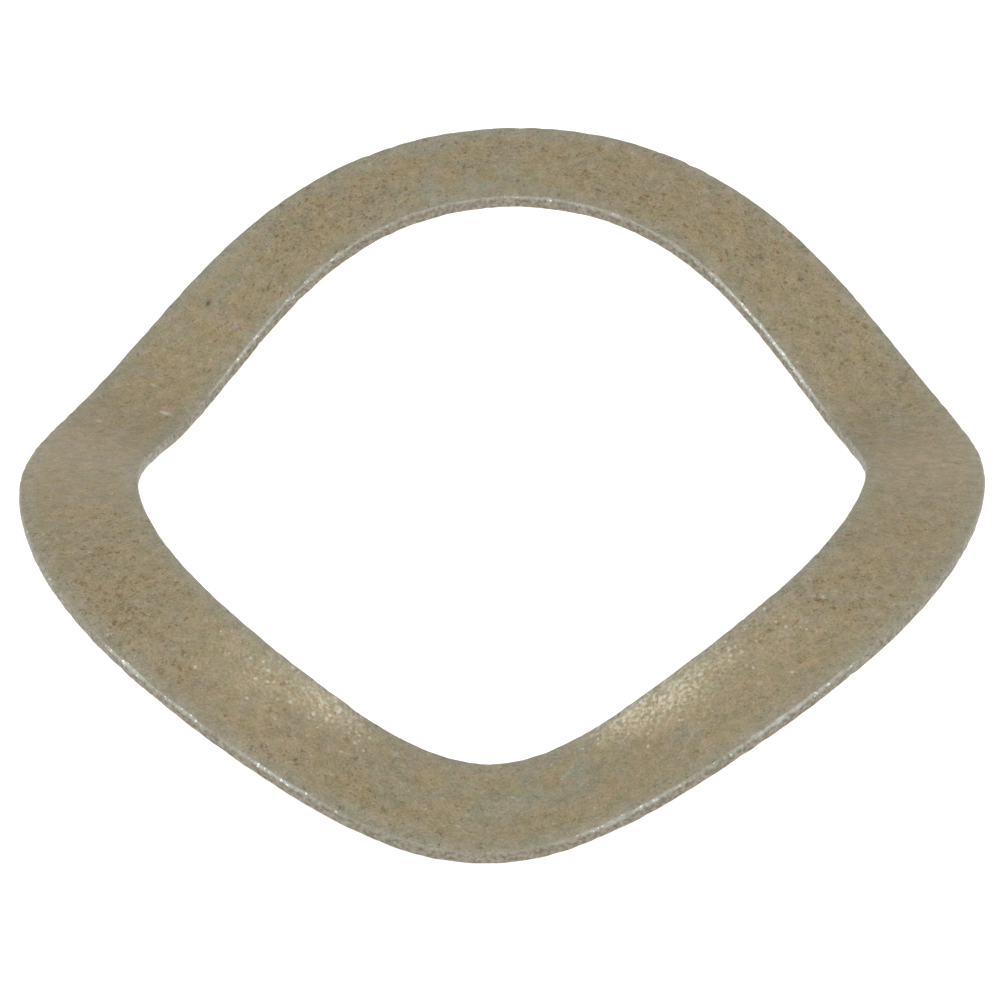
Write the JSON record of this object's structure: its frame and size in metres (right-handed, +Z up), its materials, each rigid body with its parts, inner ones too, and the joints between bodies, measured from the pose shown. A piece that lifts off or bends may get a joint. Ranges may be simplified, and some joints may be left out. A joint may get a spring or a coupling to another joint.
{
  "type": "wave spring washer",
  "caption": "Thin round spring-steel washer pressed into waves, which fits over a shaft inside a housing and takes up end play between two faces.",
  "frame": {"origin": "on the ring's axis, in the plane that the troughs rest on", "axes": "+Z up along the ring's axis, +Y towards the tallest crest"},
  "size_m": [0.0244, 0.0244, 0.0037],
  "materials": {
    "dull_plated_spring_steel": "tumbled spring steel with a dull khaki surface, read from its colour as passivated plating, with brown tarnish specks and worn grey edges"
  },
  "bodies": {
    "root": {"wave_washer": "dull_plated_spring_steel"}
  },
  "joints": []
}
